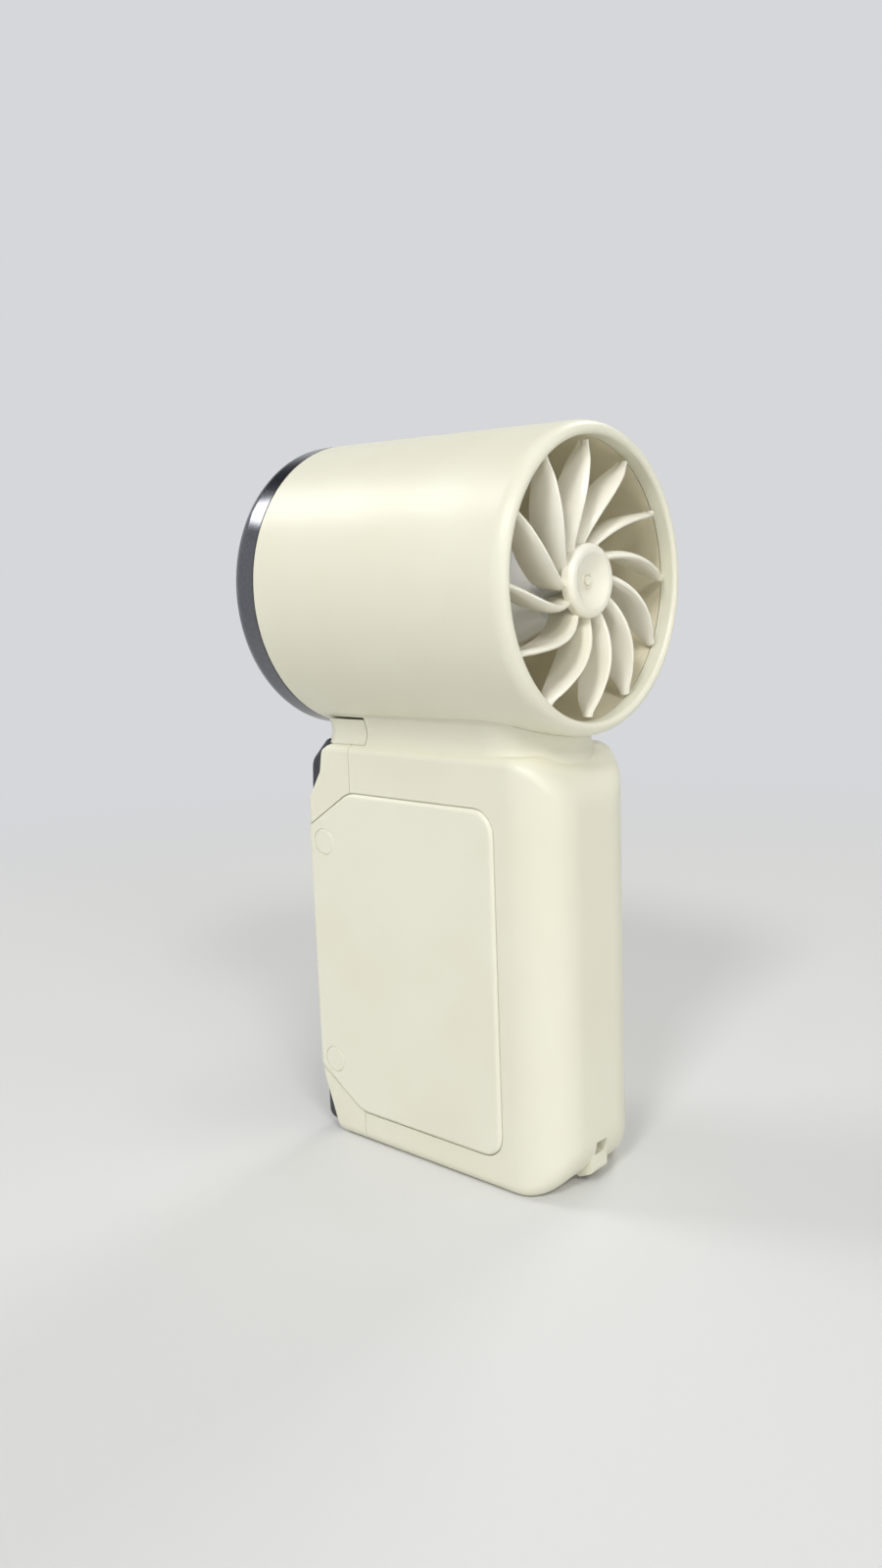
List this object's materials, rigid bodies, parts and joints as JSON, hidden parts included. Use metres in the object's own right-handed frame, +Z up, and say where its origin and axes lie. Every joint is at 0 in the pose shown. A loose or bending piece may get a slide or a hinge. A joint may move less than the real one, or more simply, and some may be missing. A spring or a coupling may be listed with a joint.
{
  "type": "handheld turbo fan",
  "caption": "Handheld rechargeable fan: a short round air duct with a swept-blade impeller on a flat battery grip with side panels, front plate, button and wrist-loop lug.",
  "frame": {"origin": "middle of the footprint of the whole fan, on the surface it stands on", "axes": "+Z up from the base to the duct, -Y the way the air leaves, +Y the intake side, +X the right side panel"},
  "size_m": [0.0614, 0.0732, 0.1545],
  "materials": {
    "cream_plastic": "semi-gloss moulded ABS",
    "cream_panel": "semi-gloss moulded ABS",
    "cream_inner": "semi-gloss moulded ABS",
    "impeller_plastic": "semi-gloss moulded",
    "pale_grey_plastic": "satin",
    "gunmetal_trim": "satin metallic",
    "plated_plastic": "dark polished plating",
    "button_plastic": "gloss",
    "smoked_lens": "polished",
    "display_black": "matte",
    "turned_aluminium": "turned",
    "sintered_bronze": "satin",
    "steel": "ground",
    "magnet": "nickel grey",
    "lamination": "dark",
    "copper_wire": "enamelled",
    "screw_steel": "zinc plated",
    "lead_sheath": "matte",
    "connector_plastic": "matte",
    "board_green": "solder mask",
    "component_black": "matte",
    "socket_metal": "satin",
    "tray_plastic": "matte",
    "nickel": "satin",
    "cell_sleeve": "shrink sleeve"
  },
  "bodies": {
    "grip": {"base_screws": "screw_steel", "battery_tray": "tray_plastic", "bearing_housing": "turned_aluminium", "board_components": "component_black", "board_screws": "screw_steel", "cell_front": "cell_sleeve", "cell_rear": "cell_sleeve", "cell_strips": "nickel", "charging_socket": "socket_metal", "control_board": "board_green", "display_lens": "smoked_lens", "display_module": "display_black", "duct_screws": "screw_steel", "front_bearing": "sintered_bronze", "front_plate": "plated_plastic", "front_shell": "cream_plastic", "guide_vanes": "cream_inner", "head_housing": "cream_plastic", "lead_connector": "connector_plastic", "motor_base": "turned_aluminium", "motor_lead": "lead_sheath", "nose_cone": "pale_grey_plastic", "outlet_ring": "gunmetal_trim", "power_switch": "component_black", "rear_bearing": "sintered_bronze", "rear_shell": "cream_plastic", "shell_screws": "screw_steel", "side_panel_left": "cream_panel", "side_panel_right": "cream_panel", "stator_core": "lamination", "stator_windings": "copper_wire", "tail_cone": "pale_grey_plastic"},
    "rotor": {"impeller": "impeller_plastic", "motor_shaft": "steel", "rotor_bell": "steel", "rotor_magnets": "magnet"},
    "button": {"power_button": "button_plastic"}
  },
  "joints": [
    {"name": "impeller_spin", "type": "hinge", "parent": "grip", "child": "rotor", "pos_m": [0, 0, 0.1238], "axis": [0, 1, 0], "continuous": true},
    {"name": "power_button_press", "type": "slide", "parent": "grip", "child": "button", "axis": [0, 1, 0], "range_m": [0, 0.0008], "stiffness_N_per_m": 800, "springref_m": -0.0005}
  ]
}
